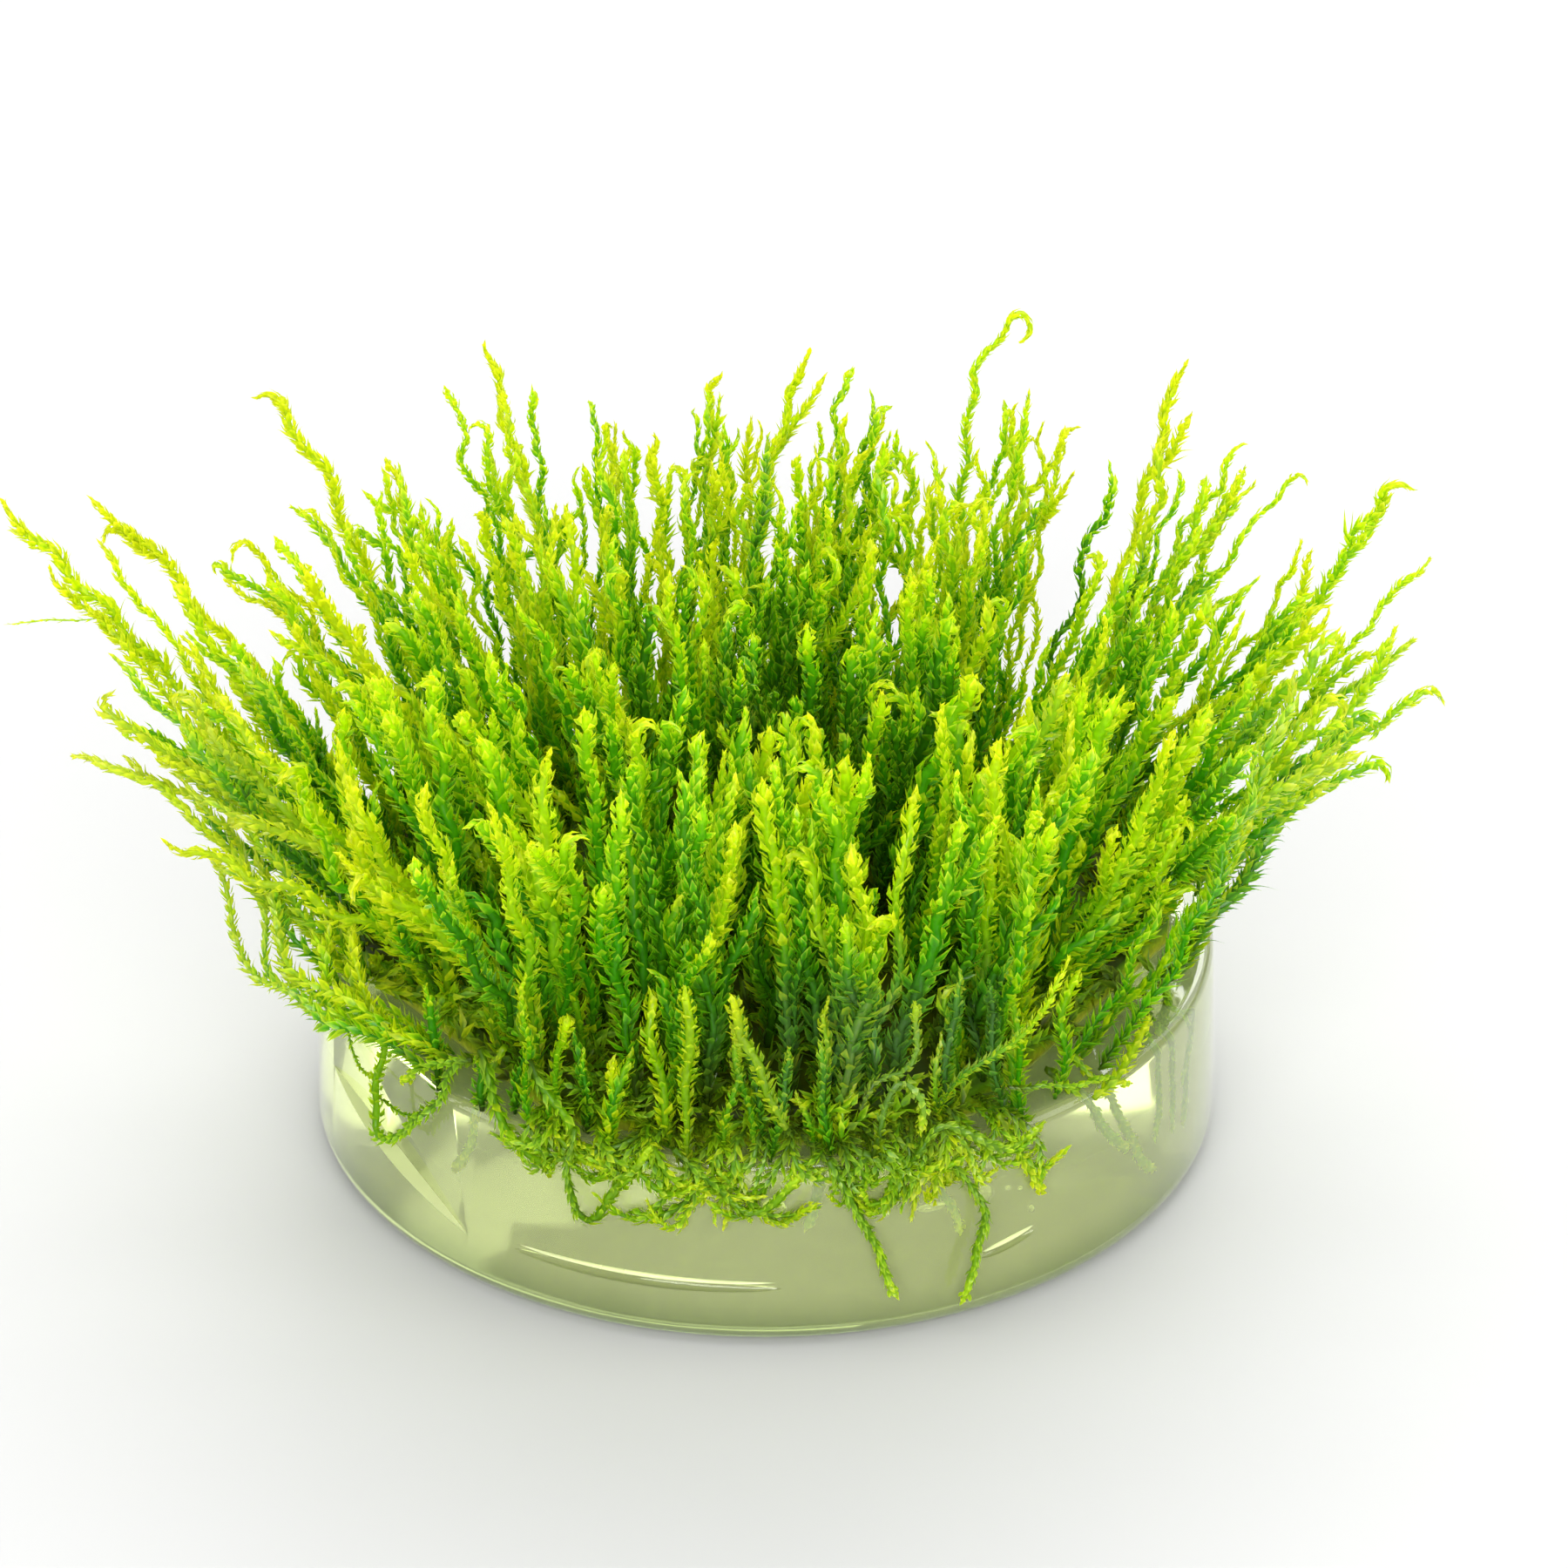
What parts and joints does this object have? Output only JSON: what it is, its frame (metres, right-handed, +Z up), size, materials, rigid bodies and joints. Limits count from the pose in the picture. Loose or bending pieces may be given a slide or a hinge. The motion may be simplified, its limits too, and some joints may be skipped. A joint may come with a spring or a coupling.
{
  "type": "tissue culture moss on a gel disc",
  "caption": "Cushion of fine upright aquatic moss shoots growing on a clear round disc of nutrient gel.",
  "frame": {"origin": "centre of the gel disc's flat underside", "axes": "+Z up, out of the underside through the moss; the front, with the trailing stems, faces -Y"},
  "size_m": [0.0928, 0.0638, 0.0419],
  "materials": {
    "gel": "clear, slightly cloudy agar gel with a wet surface",
    "moss_mat": "dense tangle of olive to brown creeping stems",
    "moss_tuft": "small overlapping translucent green leaves",
    "moss_shoot": "small overlapping translucent yellow-green leaves",
    "moss_stem": "wet leafy stem"
  },
  "bodies": {
    "root": {"creeping_stem_left": "moss_stem", "creeping_stem_right": "moss_stem", "gel_disc": "gel", "moss_mat": "moss_mat", "moss_tuft_01": "moss_tuft", "moss_tuft_02": "moss_tuft", "moss_tuft_03": "moss_tuft", "moss_tuft_04": "moss_tuft", "moss_tuft_05": "moss_tuft", "moss_tuft_06": "moss_tuft", "moss_tuft_07": "moss_tuft", "moss_tuft_08": "moss_tuft", "moss_tuft_09": "moss_tuft", "moss_tuft_10": "moss_tuft", "moss_tuft_11": "moss_tuft", "moss_tuft_12": "moss_tuft", "moss_tuft_13": "moss_tuft", "moss_tuft_14": "moss_tuft", "moss_tuft_15": "moss_tuft", "moss_tuft_16": "moss_tuft", "moss_tuft_17": "moss_tuft", "moss_tuft_18": "moss_tuft", "moss_tuft_19": "moss_tuft", "moss_tuft_20": "moss_tuft", "moss_tuft_21": "moss_tuft", "moss_tuft_22": "moss_tuft", "moss_tuft_23": "moss_tuft", "moss_tuft_24": "moss_tuft", "moss_tuft_25": "moss_tuft", "moss_tuft_26": "moss_tuft", "moss_tuft_27": "moss_tuft", "moss_tuft_28": "moss_tuft", "moss_tuft_29": "moss_tuft", "moss_tuft_30": "moss_tuft", "moss_tuft_31": "moss_tuft", "moss_tuft_32": "moss_tuft", "moss_tuft_33": "moss_tuft", "moss_tuft_34": "moss_tuft", "shoot_back_left": "moss_shoot", "shoot_back_looped": "moss_shoot", "shoot_back_middle": "moss_shoot", "shoot_back_right": "moss_shoot", "shoot_far_left": "moss_shoot", "shoot_front_right": "moss_shoot", "shoot_left_drooping": "moss_shoot", "shoot_left_hooked": "moss_shoot", "shoot_left_low": "moss_shoot", "shoot_left_rear": "moss_shoot", "shoot_right_curled": "moss_shoot", "shoot_right_hooked": "moss_shoot", "shoot_right_low": "moss_shoot", "shoot_right_thin": "moss_shoot", "sunk_stem_front": "moss_stem", "sunk_stem_right": "moss_stem", "trailing_stem_loop": "moss_stem", "trailing_stem_middle": "moss_stem", "trailing_stem_right": "moss_stem"}
  },
  "joints": []
}
